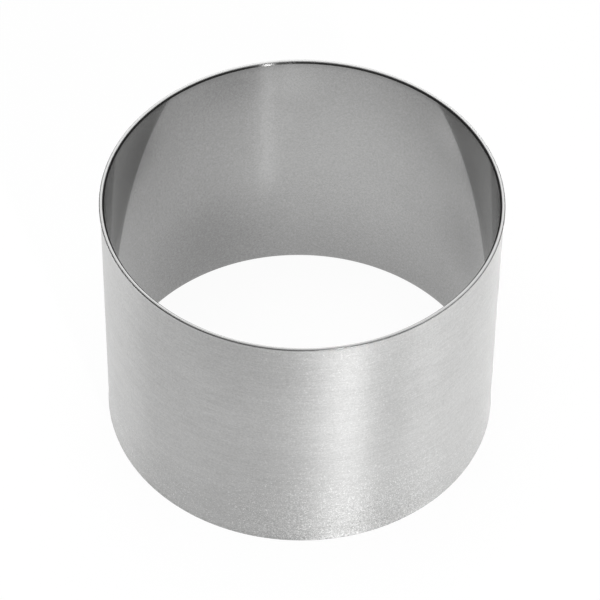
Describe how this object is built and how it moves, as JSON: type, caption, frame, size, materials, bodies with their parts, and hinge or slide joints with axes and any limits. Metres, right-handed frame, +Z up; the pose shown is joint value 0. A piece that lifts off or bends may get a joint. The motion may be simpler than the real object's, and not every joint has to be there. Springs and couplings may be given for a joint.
{
  "type": "food ring",
  "caption": "Plain round steel ring, open at both ends, for shaping, cutting and stacking food: a brushed strip rolled up and closed by a flush butt weld.",
  "frame": {"origin": "centre of the ring's foot, on the surface that it stands on", "axes": "+Z up along the ring's axis; +X from the axis to the seam weld; -Y towards the picture's camera"},
  "size_m": [0.083, 0.083, 0.06],
  "materials": {
    "band_steel": "fine satin brushing round the ring, inside and out, with polished rims",
    "weld_steel": "weld ground flush and brushed over with the band"
  },
  "bodies": {
    "root": {"rolled_band": "band_steel", "seam_weld": "weld_steel"}
  },
  "joints": []
}
